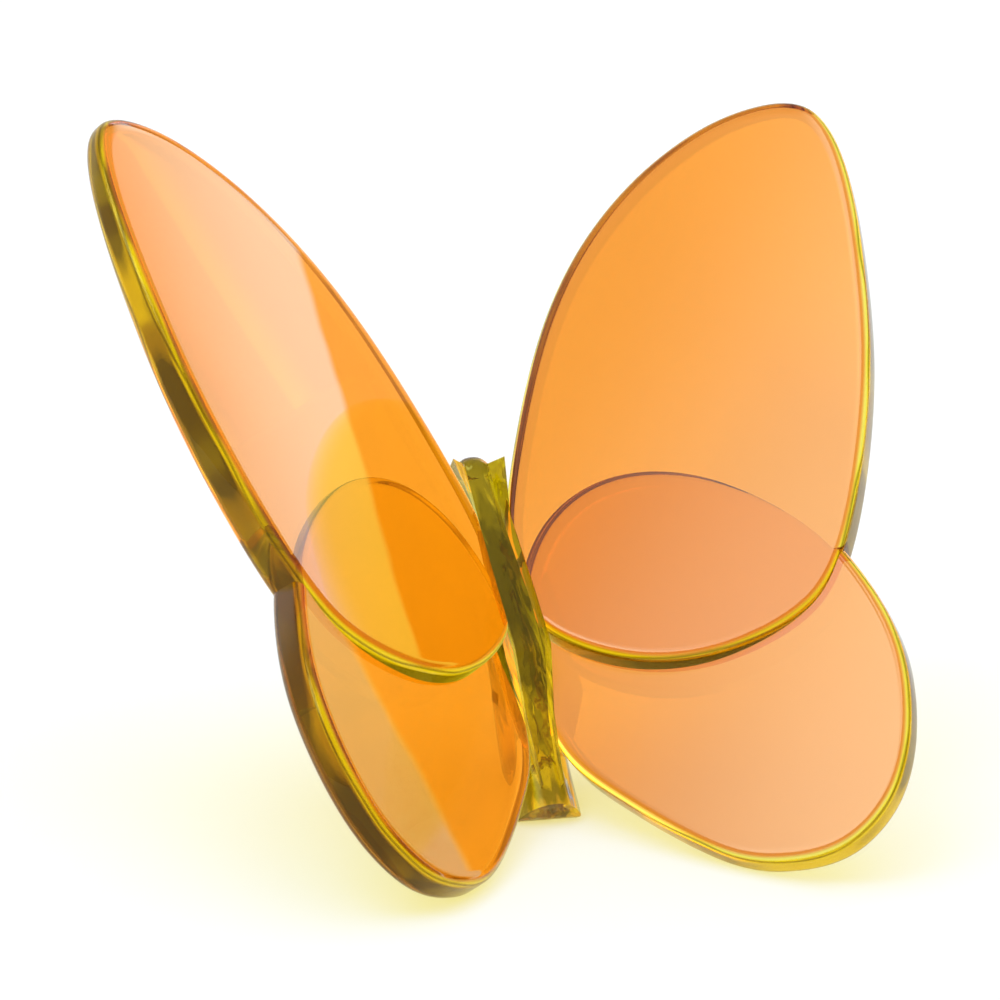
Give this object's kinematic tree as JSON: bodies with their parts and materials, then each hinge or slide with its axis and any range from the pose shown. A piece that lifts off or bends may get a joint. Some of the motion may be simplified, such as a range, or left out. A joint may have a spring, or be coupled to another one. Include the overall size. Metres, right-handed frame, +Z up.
{
  "type": "butterfly ornament",
  "caption": "Solid amber glass butterfly with thick, round-edged wings raised in a V, leaning back on its tail and lower wing tips.",
  "frame": {"origin": "on the ground plane, under the middle of the bounding box", "axes": "+X to the butterfly's right wing tip as seen from the front, +Y to the back, +Z up"},
  "size_m": [0.0818, 0.0658, 0.0645],
  "materials": {
    "body_glass": "fire-polished amber glass",
    "forewing_glass": "fire-polished amber glass",
    "hindwing_glass": "fire-polished amber glass"
  },
  "bodies": {
    "root": {"body": "body_glass", "left_forewing": "forewing_glass", "right_forewing": "forewing_glass", "left_hindwing": "hindwing_glass", "right_hindwing": "hindwing_glass"}
  },
  "joints": []
}
